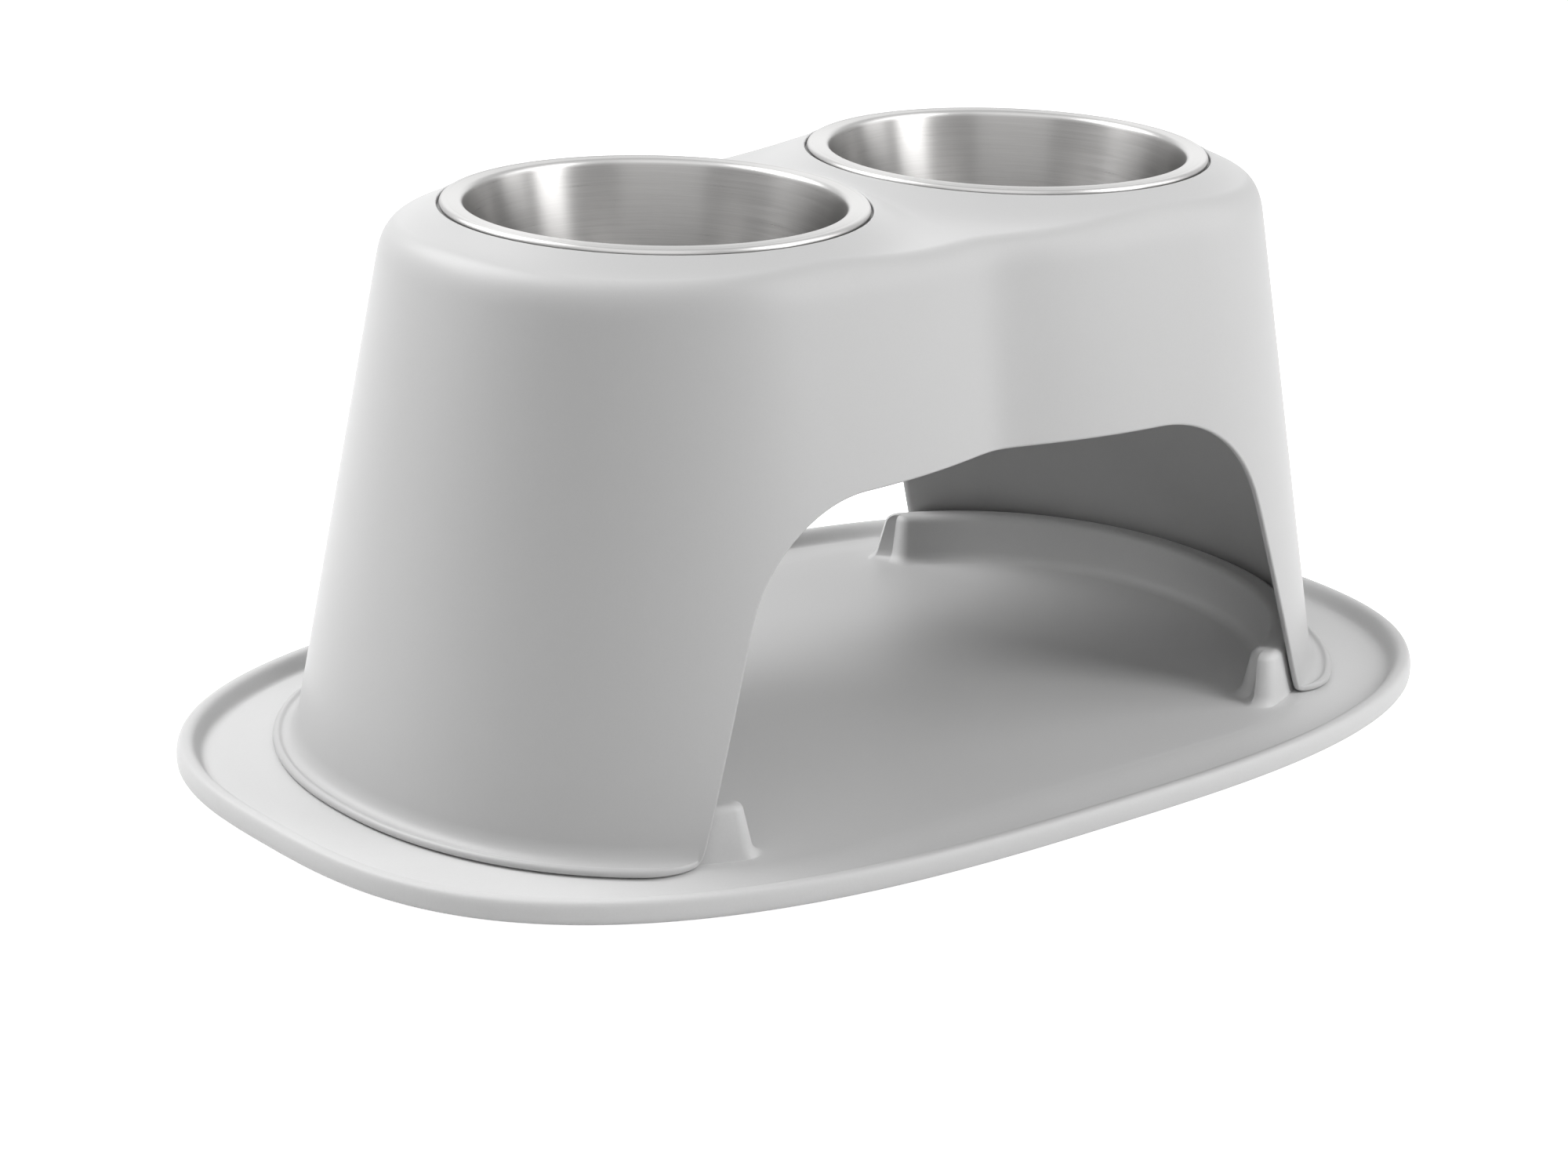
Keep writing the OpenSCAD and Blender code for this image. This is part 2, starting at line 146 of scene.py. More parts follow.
def brushed_group():
    """Surface of a brushed bowl: noise that is long round the bowl and very short along its
    section. Above the height Edge the rim is smoother and lighter than the wall, whose darker
    tone is painted shade."""
    tree, given, calc = surface_group(
        "brushed_surface", Wall=(0.3, 0.3, 0.3, 1), Rim=(0.6, 0.6, 0.6, 1), Edge=WALL_EDGE, Depth=0.1,
        Gloss=0.25)
    coordinates = node(tree, "ShaderNodeTexCoord").outputs
    unrolled = node(tree, "ShaderNodeSeparateXYZ", Vector=coordinates["UV"]).outputs
    height = node(tree, "ShaderNodeSeparateXYZ", Vector=coordinates["Object"]).outputs["Z"]
    rim = calc("MULTIPLY", calc("SUBTRACT", height, given["Edge"]), RIM_RISE, clamp=True)
    turn = calc("MULTIPLY", unrolled["X"], 2 * math.pi)
    cosine, sine = calc("COSINE", turn, 0.0), calc("SINE", turn, 0.0)

    def streaks(round_scale, along_scale, detail):
        """Noise on a cylinder, so that it has no seam where the turn starts again."""
        where = node(tree, "ShaderNodeCombineXYZ", X=calc("MULTIPLY", cosine, round_scale),
                     Y=calc("MULTIPLY", sine, round_scale), Z=calc("MULTIPLY", unrolled["Y"], along_scale))
        made = node(tree, "ShaderNodeTexNoise", Vector=where.outputs[0], Scale=1.0, Detail=detail,
                    Roughness=0.6)
        return made.outputs["Fac"]

    fine, long = streaks(*FINE_STREAKS), streaks(*LONG_STREAKS)
    brushing = calc("SUBTRACT", 1.0, calc("MULTIPLY", rim, RIM_SMOOTHING))
    bump = node(tree, "ShaderNodeBump", Strength=calc("MULTIPLY", given["Depth"], brushing),
                Distance=BRUSH_HEIGHT, Height=calc("ADD", fine, calc("MULTIPLY", long, LONG_WEIGHT)))
    change = calc("ADD", swing(calc, fine, FINE_TONE), swing(calc, long, LONG_TONE))
    change = calc("MULTIPLY", change, brushing)
    # Wall tone below the edge, darker than the rim's as painted shade, and rim tone above it.
    tone = node(tree, "ShaderNodeMix")
    tone.data_type = "RGBA"
    for index, value in ((0, rim), (6, given["Wall"]), (7, given["Rim"])):
        plug(tree, value, tone.inputs[index])
    rough = calc("ADD", given["Gloss"], calc("MULTIPLY", change, BRUSH_ROUGHNESS))
    rough = calc("ADD", rough, calc("MULTIPLY", rim, RIM_ROUGHNESS))
    return put_out(tree, tone.outputs[2], calc("ADD", 1.0, change), rough, bump)


# Materials

MOULDED, BRUSHED = moulded_group(), brushed_group()


def finished(name, group, plain, **values):
    """Material whose colour, roughness and normal come from a group with its own values. Plain
    gives the numbers that are the same all over, for the shader's own sockets."""
    material = bpy.data.materials.new(name)
    material.use_nodes = True
    tree = material.node_tree
    shader = tree.nodes["Principled BSDF"]
    made = tree.nodes.new("ShaderNodeGroup")
    made.node_tree = group
    for key, value in values.items():
        made.inputs[key].default_value = value
    for source, target in (("Color", "Base Color"), ("Roughness", "Roughness"), ("Normal", "Normal")):
        tree.links.new(made.outputs[source], shader.inputs[target])
    for key, value in plain.items():
        shader.inputs[key].default_value = value
    return material


def plastic(name, shade, grain, depth, gloss):
    """Grey moulded plastic."""
    tone = (shade, shade, shade, 1)
    plain = {"Specular IOR Level": 0.35}
    return finished(name, MOULDED, plain, Tone=tone, Grain=grain, Depth=depth, Gloss=gloss)


def steel(name, wall, rim):
    """Brushed steel, whose gloss is spread across the brushing. Its wall tone is darker than its rim's as
    painted shade.
    """
    plain = {"Metallic": 1.0, "Anisotropic": 0.7, "Anisotropic Rotation": 0.25}
    material = finished(name, BRUSHED, plain, Wall=wall, Rim=rim, Edge=WALL_EDGE, Depth=0.08, Gloss=0.3)
    tree = material.node_tree
    tangent = tree.nodes.new("ShaderNodeTangent")
    tangent.direction_type = "UV_MAP"
    tangent.uv_map = "UVMap"
    tree.links.new(tangent.outputs[0], tree.nodes["Principled BSDF"].inputs["Tangent"])
    return material


MAT = plastic("mat_plastic", 0.62, 900.0, 0.12, 0.5)
STAND = plastic("stand_plastic", 0.52, 1300.0, 0.06, 0.42)
# The wall colour is darker than the rim colour of the same steel: painted shade on the bowls' walls.
STEEL = steel("bowl_steel", (0.285, 0.281, 0.277, 1), (0.43, 0.427, 0.423, 1))

for name, material in (("mat", MAT), ("stand", STAND), ("left_bowl", STEEL), ("right_bowl", STEEL)):
    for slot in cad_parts[name].material_slots:
        slot.material = material


# Shape values

# All lengths are in millimetres, and MM brings them to metres.
MM = 0.001
# Stand: distance from the middle to the centre of each end, height, size at the top and at the
# ground, exponent of the ends' superellipse and wall.
HALF_ENDS, TOP = 118.0, 268.5
TOP_LENGTH, FOOT_LENGTH = 466.0, 556.0
TOP_WIDTH, FOOT_WIDTH = 236.0, 328.0
SQUARE, WALL = 2.15, 3.5
# Shares of the end's reach: up to the first the superellipse has a width, and past the second a
# column's width comes from the ring, because the wall is steep along X there.
END_LIMIT, TIP_SHARE = 0.9999, 0.9
# Waist: depth, exponent, and the rounding of its fold at the top and at the ground.
WAIST_DEPTH, WAIST_POWER = 19.0, 2.3
WAIST_TOP, WAIST_FOOT = 14.0, 4.0
# Crown: slope in degrees, greatest fall, how suddenly it levels out, rounding between the bowls.
CROWN_SLOPE, CROWN_DROP, CROWN_POWER, VALLEY = 28.0, 11.0, 4.0, 5.0
# Shoulder: how far it reaches inwards and down, and the corner's share in its curve.
SHOULDER_IN, SHOULDER_DOWN, SHOULDER_SHARE = 9.0, 15.0, 0.9
# Arch: height, width at the ground, width at the top, corner radius, rounding of its toes and of its edge.
ARCH_HEIGHT, ARCH_FOOT, ARCH_CROWN, ARCH_ROUND = 160.0, 388.0, 292.0, 71.0
TOE_ROUND, EDGE_ROUND = 7.0, 1.3
# Flange: width, and the length over which it dies out at the toes.
FLANGE, TOE_LENGTH = 10.0, 22.0
# Bowl seats: distance from the middle, radius and edge rounding of the recess, ledge.
BOWL_X, RECESS, RECESS_ROUND = 111.0, 101.0, 0.7
LEDGE_Z, LEDGE_R = 266.0, 92.0
# Mat: size, exponent of its superellipse, level of its floor and gutter, margin of the level floor
# outside the stand's foot, lip.
MAT_LENGTH, MAT_WIDTH, MAT_SQUARE = 656.0, 418.0, 2.8
FLOOR, GUTTER, MARGIN = 5.5, 3.0, 4.0
LIP_HEIGHT, LIP_WIDTH = 10.5, 12.5
# Ridges: height, width at the top, gap to the stand, rounding of the top, spread and fillet at the
# foot, distance of the ends from the arch's foot, and how round the ends are.
RIDGE_HEIGHT, RIDGE_WIDTH, RIDGE_GAP = 25.0, 13.0, 1.5
RIDGE_ROUND, RIDGE_SPREAD, RIDGE_FILLET = 3.5, 10.0, 5.5
RIDGE_REACH, RIDGE_ROUNDNESS = 25.0, 0.95
RIDGE_DRAFT = RIDGE_SPREAD - RIDGE_FILLET
RIDGE_TOP = FLOOR + RIDGE_HEIGHT
# Bowls: top and radius of the rim, sheet, height of the rolled edge, depth, radius of the base and
# of the wall's top, radius of the turn into the rim and into the base.
RIM_TOP, RIM_R = 270.0, 100.0
SHEET, ROLL, DEPTH = 0.9, 3.7, 85.0
BASE_R, WALL_R = 73.0, 89.0
RIM_ROUND, BASE_ROUND = 2.7, 14.0


# Shape functions

def mixed(a, b, t):
    """Straight mix of a and b, with share t of b."""
    return a + (b - a) * t


def soft_abs(x, r):
    """Root of x squared plus r squared: the size of x, with its corner rounded."""
    return np.sqrt(x * x + r * r)


def turn_about(points, x):
    """Angle of each point about a place on the X axis, from 0 to a full turn."""
    return np.arctan2(points[:, 1], points[:, 0] - x) % (2 * np.pi)


def superellipse(angle, length, width, power):
    """Point at an angle: half length times the cosine to 2 / power, half width times the sine
    to 2 / power, with their signs kept."""
    cosine, sine = np.cos(angle), np.sin(angle)
    exponent = 2 / power
    return (np.sign(cosine) * length * np.abs(cosine) ** exponent,
            np.sign(sine) * width * np.abs(sine) ** exponent)


def end_reach(z):
    """Length of the rounded end past its centre at height z: it shrinks evenly with the height."""
    return mixed(FOOT_LENGTH, TOP_LENGTH, z / TOP) / 2 - HALF_ENDS


def side_reach(z):
    """Half width of the stand at height z: it shrinks evenly with the height."""
    return mixed(FOOT_WIDTH, TOP_WIDTH, z / TOP) / 2


def waist(x, z):
    """Depth of the waist: its full depth times a power of the share of the way from the end's
    centre to the middle."""
    r = mixed(WAIST_FOOT, WAIST_TOP, z / TOP)
    share = np.maximum(0, (HALF_ENDS - soft_abs(x, r)) / HALF_ENDS)
    return WAIST_DEPTH * share ** WAIST_POWER


def crown_z(x, y):
    """Height of the crown: it falls with the distance from the nearer recess and then levels out."""
    nearer = soft_abs(x, VALLEY) - soft_abs(BOWL_X, VALLEY) + BOWL_X
    away = np.maximum(0, np.hypot(nearer - BOWL_X, y) - RECESS)
    fall = math.tan(math.radians(CROWN_SLOPE)) * away / CROWN_DROP
    return TOP - CROWN_DROP * fall / (1 + fall ** CROWN_POWER) ** (1 / CROWN_POWER)


def wall_ring(columns, z, grow):
    """Place of the wall at ring columns and height z, moved outwards by grow: the centre's share
    of HALF_ENDS plus a share of the end's reach, and a share of the side's reach less the waist."""
    along, across, centre, x_side, y_side = columns
    base = centre * HALF_ENDS
    x = base + along * (end_reach(z) + grow)
    y = across * (side_reach(z) + grow) - np.where(centre < 1, waist(base, z), 0)
    return x_side * x, y_side * y


def wall_side(x, z, grow):
    """Half width of the wall at a place along X: superellipse past the end's centre, waist before it."""
    share = np.clip((np.abs(x) - HALF_ENDS) / (end_reach(z) + grow), 0, END_LIMIT)
    dip = np.where(np.abs(x) < HALF_ENDS, waist(x, z), 0)
    return (side_reach(z) + grow) * (1 - share ** SQUARE) ** (1 / SQUARE) - dip


def arch_edge(x):
    """Height of the arch at a place along X: leaning side, corner circle and level top."""
    slope = (ARCH_FOOT - ARCH_CROWN) / 2 / ARCH_HEIGHT
    turn = math.atan(1 / slope)
    corner_x = ARCH_CROWN / 2 - ARCH_ROUND * math.tan(turn / 2)
    corner_z = ARCH_HEIGHT - ARCH_ROUND
    away = np.abs(x)
    meet = corner_x + ARCH_ROUND * math.sin(turn)
    side = (ARCH_FOOT / 2 - away) / slope
    circle = corner_z + np.sqrt(np.maximum(0, ARCH_ROUND ** 2 - np.maximum(0, away - corner_x) ** 2))
    return np.where(away > meet, side, circle)


def edge_height(x):
    """Smooth maximum of the arch's edge and the mat's floor, so that the toe turns in a round."""
    above = arch_edge(x) - FLOOR
    return FLOOR + 0.5 * (above + np.sqrt(above * above + TOE_ROUND * TOE_ROUND))


def toe_share(x):
    """Share of the flange that is left at a place along X: a quarter circle over the toe's length."""
    t = np.clip((np.abs(x) - ARCH_FOOT / 2) / TOE_LENGTH, 0, 1)
    return np.sqrt(1 - (1 - t) ** 2)


# Mesh helpers

# Distance in metres at which points are one, and angle in degrees past which an edge stays sharp.
WELD, SHARP_ANGLE = 2e-6, 40


def grid_faces(rows, columns, closed=True):
    """Quads between neighbouring points of a grid of rows, closed round its columns or open."""
    row = np.arange(rows - 1)[:, None]
    column = np.arange(columns if closed else columns - 1)[None, :]
    here = row * columns + column
    beside = row * columns + (column + 1) % columns
    return np.stack([here, beside, beside + columns, here + columns], -1).reshape(-1, 4)


class Shell:
    """Collects vertices and faces of one piece, in millimetres."""

    def __init__(self):
        self.points, self.faces, self.uvs, self.count = [], [], [], 0

    def add(self, points, faces, uv=None):
        """Add points, their faces with the points counted from 0, and their places in the UV map."""
        points = np.asarray(points, float).reshape(-1, 3)
        self.points.append(points)
        self.faces.extend((np.asarray(faces) + self.count).tolist())
        self.uvs.append(np.zeros((len(points), 2)) if uv is None else np.asarray(uv).reshape(-1, 2))
        self.count += len(points)

    def grid(self, rows, closed=True, uv=None):
        """Add a grid of rows as quads."""
        rows = np.asarray(rows, float)
        self.add(rows, grid_faces(rows.shape[0], rows.shape[1], closed), uv)

    def build(self, name, body, material, replaced):
        """Weld the parts to one closed mesh, turn its faces outwards and hand it to its body."""
        mesh = bpy.data.meshes.new(name)
        points = np.concatenate(self.points) * MM
        mesh.from_pydata(points.tolist(), [], self.faces)
        layer = mesh.uv_layers.new(name="UVMap")
        loops = np.empty(len(mesh.loops), dtype=np.int32)
        mesh.loops.foreach_get("vertex_index", loops)
        layer.data.foreach_set("uv", np.concatenate(self.uvs)[loops].astype(np.float32).ravel())
        work = bmesh.new()
        work.from_mesh(mesh)
        bmesh.ops.remove_doubles(work, verts=work.verts, dist=WELD)
        bmesh.ops.recalc_face_normals(work, faces=work.faces)
        loose = [edge for edge in work.edges if not edge.link_faces]
        bmesh.ops.delete(work, geom=loose, context="EDGES")
        work.to_mesh(mesh)
        work.free()
        mesh.polygons.foreach_set("use_smooth", np.ones(len(mesh.polygons), bool))
        mesh.set_sharp_from_angle(angle=math.radians(SHARP_ANGLE))
        mesh.materials.append(material)
        thing = linked(name, mesh)
        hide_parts(replaced)
        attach(thing, body)


# Stand

# Bands of columns along X past the end's centre: start, end and number of columns. They are
# densest where the toes turn.
TOE_BANDS = ((0, 67, 22), (67, 82, 22), (82, 104, 16))
END_COLUMNS, SIDE_COLUMNS, SIDE_DENSITY = 40, 40, 1.2

# Profile of the flange: share of its width and height above the foot, from its underside
# over the raised bead and the shallow groove into the wall.
FLANGE_PROFILE = np.array([
    (0.72, 0.0), (0.86, 0.15), (0.95, 0.6), (1.0, 1.4), (1.0, 2.4), (0.97, 3.2), (0.90, 3.8),
    (0.81, 4.0), (0.73, 3.8), (0.66, 3.4), (0.59, 3.1), (0.51, 3.0), (0.42, 3.2), (0.33, 3.7),
    (0.24, 4.5), (0.16, 5.6), (0.09, 7.0), (0.035, 8.8), (0.0, 11.0),
])
# Share of the edge's rounding that the profile's heights lose over the arch.
BARE_SHARE = 0.9
QUARTER_TURN = np.radians([0, 22.5, 45, 67.5, 90])
# How near to the middle line, in millimetres or as a share, a point or column counts as on it.
ON_MIDDLE = 1e-6
# The arch's edge on the wall is found by repeated mixing, and its slope by a small step along X.
EDGE_REPEATS, EDGE_MIX, SLOPE_STEP = 80, 0.6, 0.01
# Where along X the inner skin begins to follow the end, and over what length it does so.
FOLLOW_START, FOLLOW_LENGTH = 200, 40
# Numbers of rows, which count both ends, and how dense the crown's rows are towards the shoulder.
INNER_SHOULDER_ROWS, INNER_WALL_ROWS = 9, 13
OUTER_WALL_ROWS, OUTER_SHOULDER_ROWS = 15, 13
CROWN_ROWS, CROWN_DENSITY, UNDER_ROWS, SEAM_POINTS = 15, 1.3, 10, 66


def stand_columns():
    """Columns of the stand's ring: shares of the end's reach, of the side's reach and of the
    centre's place, with the signs of X and Y. They are dense where the toes turn and in the waist."""
    x = np.concatenate([np.linspace(*band, endpoint=band is TOE_BANDS[-1]) for band in TOE_BANDS])
    toes = np.arccos((x / end_reach(FLOOR)) ** (SQUARE / 2))
    angle = np.concatenate([np.linspace(0, toes[-1], END_COLUMNS, endpoint=False), toes[::-1]])
    centre = (1 - np.arange(1, SIDE_COLUMNS + 1) / SIDE_COLUMNS) ** SIDE_DENSITY
    along = np.concatenate([np.cos(angle) ** (2 / SQUARE), np.zeros(SIDE_COLUMNS)])
    across = np.concatenate([np.sin(angle) ** (2 / SQUARE), np.ones(SIDE_COLUMNS)])
    along[len(angle) - 1] = 0
    quarter = np.stack([along, across, np.concatenate([np.ones(len(angle)), centre])])
    last = quarter.shape[1] - 1
    one = np.ones(last)
    there, back = quarter[:, :last], quarter[:, last:0:-1]
    return np.concatenate([
        np.vstack([there, one, one]), np.vstack([back, -one, one]),
        np.vstack([there, -one, -one]), np.vstack([back, one, -one]),
    ], axis=1)


def shoulder(columns, grow, drop, t):
    """Rational quadratic curve from the wall over the corner to the crown, t from 0 to 1."""
    centre, x_side = columns[2], columns[3]
    corner_z = crown_z(*wall_ring(columns, TOP, grow)) - drop
    corner_x, corner_y = wall_ring(columns, corner_z, grow)
    inward_x, inward_y = x_side * centre * HALF_ENDS - corner_x, -corner_y
    length = (SHOULDER_IN + grow) / np.hypot(inward_x, inward_y)
    end_x, end_y = corner_x + inward_x * length, corner_y + inward_y * length
    low_x, low_y = wall_ring(columns, corner_z - SHOULDER_DOWN, grow)
    end, corner, low = t * t, 2 * t * (1 - t) * SHOULDER_SHARE, (1 - t) * (1 - t)
    total = end + corner + low
    end_z = crown_z(end_x, end_y) - drop
    return np.stack([
        (end * end_x + corner * corner_x + low * low_x) / total,
        (end * end_y + corner * corner_y + low * low_y) / total,
        (end * end_z + corner * corner_z + low * (corner_z - SHOULDER_DOWN)) / total,
    ], -1)


def stand_skin(columns):
    """Grid of both skins: for every column the profile runs from the inside of the crown down the
    inner skin, round the arch's edge or the foot flange, up the outer skin and over the shoulder."""
    along, across, centre, x_side, y_side = columns

    def lengthways(z, grow=0.0):
        """Place along X of each column on the wall at height z."""
        return centre * HALF_ENDS + along * (end_reach(z) + grow)

    edge_z = np.full(len(along), FLOOR)
    for _ in range(EDGE_REPEATS):
        edge_z = (1 - EDGE_MIX) * edge_z + EDGE_MIX * edge_height(lengthways(edge_z))
    edge_x = lengthways(edge_z)
    slope = (edge_height(edge_x + SLOPE_STEP) - edge_height(edge_x - SLOPE_STEP)) / (2 * SLOPE_STEP)
    normal_x, normal_z = -slope / np.hypot(1, slope), 1 / np.hypot(1, slope)
    toe = toe_share(edge_x)
    follow = np.clip((edge_x - FOLLOW_START) / FOLLOW_LENGTH, 0, 1)
    follow = follow * follow * (3 - 2 * follow)

    def point(grow, off, lift, keep=1.0, inner=follow):
        """Points of the wall: off along the edge's normal, lift straight up, grow outwards. Keep is
        the share of the edge's own place along X, and inner is how far an inner skin moves along X."""
        raised = edge_z + normal_z * off
        shift = edge_x + normal_x * off - lengthways(raised)
        z = raised + lift
        x = lengthways(z, grow * np.where(grow > 0, 1.0, inner)) + shift * keep
        y = np.where(along > TIP_SHARE, across * (side_reach(z) + grow), wall_side(x, z, grow))
        y = np.where(centre < 1, side_reach(z) + grow - waist(np.minimum(x, HALF_ENDS), z), y)
        return np.stack([x_side * x, y_side * y, z], -1)

    rows = [shoulder(columns, -WALL, WALL, t) for t in np.linspace(1, 0, INNER_SHOULDER_ROWS)]
    low = rows[-1][:, 2]
    for t in np.linspace(1, 0, INNER_WALL_ROWS)[1:-1]:
        lift = (low - (edge_z + normal_z * EDGE_ROUND)) * t
        rows.append(point(-WALL, EDGE_ROUND, lift, (1 - t) ** 2, mixed(follow, 1, t)))
    for f in QUARTER_TURN:
        rows.append(point(-WALL + EDGE_ROUND * (1 - math.cos(f)), EDGE_ROUND * (1 - math.sin(f)), 0))

    turns, steps = len(QUARTER_TURN), len(FLANGE_PROFILE)
    for i, (share, height) in enumerate(FLANGE_PROFILE):
        if i < turns:
            f = QUARTER_TURN[i]
            bare, off, lift = -EDGE_ROUND * (1 - np.sin(f)), EDGE_ROUND * (1 - np.cos(f)), 0
        else:
            climb = max(0.0, height - EDGE_ROUND * BARE_SHARE) * (i + 1 - turns) / (steps - turns)
            bare, off, lift = 0.0, EDGE_ROUND, climb
        grow = mixed(bare, toe * FLANGE * share, toe)
        rows.append(point(grow, off * (1 - toe), mixed(lift, height, toe)))

    height = FLANGE_PROFILE[-1, 1]
    first = mixed(height - EDGE_ROUND * BARE_SHARE, height, toe)
    off = EDGE_ROUND * (1 - toe)
    outer = [shoulder(columns, 0, 0, t) for t in np.linspace(0, 1, OUTER_SHOULDER_ROWS)]
    way = outer[0][:, 2] - (edge_z + normal_z * off + first)
    for t in np.linspace(0, 1, OUTER_WALL_ROWS)[1:-1]:
        rows.append(point(0.0, off, first + way * t, (1 - t) ** 2))
    return np.array(rows + outer)


def crown_loop(edge, drop):
    """Closed boundary of one crown: the shoulder's edge and the line between the bowls."""
    ends = edge[np.abs(edge[:, 0]) < ON_MIDDLE, 1]
    y = np.linspace(ends.max(), ends.min(), SEAM_POINTS)[1:-1]
    line = np.stack([np.zeros_like(y), y, crown_z(np.zeros_like(y), y) - drop], -1)
    whole = np.concatenate([edge, line])
    return whole[np.argsort(turn_about(whole, BOWL_X))]


def on_circle(points, radius):
    """Points moved towards the bowl's axis, or away from it, to a circle about it."""
    away = points[:, :2] - (BOWL_X, 0)
    return away / np.hypot(away[:, 0], away[:, 1])[:, None] * radius + (BOWL_X, 0)


def on_crown(place, drop):
    """Points of the crown over a place in plan, moved down by drop."""
    return np.column_stack([place, crown_z(place[:, 0], place[:, 1]) - drop])


def level(place, z):
    """Points at one height over a place in plan."""
    return np.column_stack([place, np.full(len(place), z)])


def crown_grid(outer, inner):
    """Polar grid about a bowl: from the shoulder over the crown into the recess, round the ledge
    and back under the crown to the inner skin."""
    start = on_circle(outer, RECESS + RECESS_ROUND)
    shares = (1 - (1 - np.linspace(0, 1, CROWN_ROWS)) ** CROWN_DENSITY)[::-1]
    rows = [outer] + [on_crown(mixed(start, outer[:, :2], t), 0) for t in shares[1:]]
    rim = crown_z(start[:, 0], start[:, 1])
    for f in np.radians([30, 60, 90]):
        place = on_circle(outer, RECESS + RECESS_ROUND * (1 - math.sin(f)))
        rows.append(np.column_stack([place, rim - RECESS_ROUND * (1 - math.cos(f))]))
    for radius, z in ((RECESS, LEDGE_Z), (LEDGE_R, LEDGE_Z), (LEDGE_R, LEDGE_Z - WALL),
                      (RECESS + WALL, LEDGE_Z - WALL)):
        rows.append(level(on_circle(outer, radius), z))
    start = on_circle(inner, RECESS + WALL)
    shares = np.linspace(0, 1, UNDER_ROWS)
    rows += [on_crown(mixed(start, inner[:, :2], t), WALL) for t in shares[:-1]]
    return np.array(rows + [inner])


def mirrored(points, side):
    """Copy of points with X times 1 or -1."""
    return points * (side, 1, 1)


def stand_piece():
    """Shell with two skins, whose crown is a polar grid about each bowl."""
    columns = stand_columns()
    skin = stand_skin(columns)
    half = (columns[3] > 0) | (columns[2] < ON_MIDDLE)
    crown = crown_grid(crown_loop(skin[-1][half], 0.0), crown_loop(skin[0][half], WALL))
    shell = Shell()
    shell.grid(skin)
    for side in (1, -1):
        shell.grid(mirrored(crown, side))
    shell.build("stand_shell", "stand", STAND, "stand")


# Mat

# Profile of the lip: share of its width from the outer side, share of the gutter's height and
# share of the lip's height above the gutter.
LIP_PROFILE = np.array([
    (0.10, 0, 0), (0.045, 0.08, 0), (0.015, 0.3, 0), (0.0, 0.7, 0), (0.0, 1, 0.08), (0.004, 1, 0.25),
    (0.015, 1, 0.42), (0.04, 1, 0.6), (0.075, 1, 0.75), (0.12, 1, 0.87), (0.18, 1, 0.95), (0.25, 1, 0.99),
    (0.35, 1, 1), (0.44, 1, 0.985), (0.52, 1, 0.93), (0.59, 1, 0.845), (0.65, 1, 0.72), (0.70, 1, 0.58),
    (0.745, 1, 0.43), (0.79, 1, 0.28), (0.835, 1, 0.15), (0.885, 1, 0.06), (0.94, 1, 0.015), (1.0, 1, 0.0),
])
# Rows that climb from the gutter to the floor, and rows on the floor: share of the climb or
# distance past it, and how far the row is lowered to soften the fold between them.
CLIMB = ((0.03, 0), (0.08, 0), (0.16, 0), (0.3, 0), (0.45, 0), (0.6, 0), (0.72, 0), (0.82, 0),
         (0.9, 0.05), (0.96, 0.11), (1.0, 0.2))
LANDING = ((1.0, 0.09), (3.0, 0), (6.0, 0))
MAT_COLUMNS, MAT_SAMPLES, RIDGE_COLUMNS = 560, 4000, 100
# Floor: distance in millimetres under which two points of a boundary are one, and the kind and the
# tolerance of the triangulation, of which kind 1 keeps the triangles inside the boundaries.
SAME_POINT, KEEP_INSIDE, FILL_TOLERANCE = 1e-4, 1, 1e-5
# Heights of a ridge's rows above the floor, close together in the fillet at its foot.
RIDGE_ROWS = np.concatenate([
    [0, 0.1, 0.35, 0.8, 1.5, 2.5, 3.9, 5.5], np.linspace(8, RIDGE_HEIGHT - RIDGE_ROUND, 7),
])


def leg_point(angle, z, grow):
    """Point at an angle on the superellipse that runs grow outside the leg's wall at height z."""
    x, y = superellipse(angle, end_reach(z) + grow, side_reach(z) + grow, SQUARE)
    return HALF_ENDS + x, y


def leg_angle(x, z, grow):
    """Angle at which that superellipse reaches a place along X."""
    return np.arccos(((x - HALF_ENDS) / (end_reach(z) + grow)) ** (SQUARE / 2))


def ridge_row(z, inset, spread):
    """Closed row round a leg's inside: outer and inner curve, joined at the ends by quarter circles."""
    outer = -WALL - RIDGE_GAP - inset
    inner = -WALL - RIDGE_GAP - RIDGE_WIDTH + inset - spread
    x = ARCH_FOOT / 2 - RIDGE_REACH + inset - spread
    turn_out, turn_in = leg_angle(x, z, outer), leg_angle(x, RIDGE_TOP, inner)
    corner = RIDGE_ROUNDNESS * (outer - inner) / 2
    edge = corner / (side_reach(z) * turn_in * 2)
    f = np.radians(np.linspace(0, 90, 11))
    between = np.linspace(edge, 1 - edge, RIDGE_COLUMNS + 1)[1:-1]
    t = np.concatenate([edge * (1 - np.cos(f)), between, 1 - edge * (1 - np.cos(f[::-1]))])
    rounds = np.concatenate([
        corner * (1 - np.sin(f)), np.zeros(len(between)), corner * (1 - np.sin(f[::-1])),
    ])
    outer_x, outer_y = leg_point(mixed(-turn_out, turn_out, t), z, outer - rounds)
    inner_x, inner_y = leg_point(mixed(-turn_in, turn_in, t[::-1]), RIDGE_TOP, inner + rounds[::-1])
    x, y = np.concatenate([outer_x, inner_x]), np.concatenate([outer_y, inner_y])
    return np.stack([x, y, np.full_like(x, z)], -1)


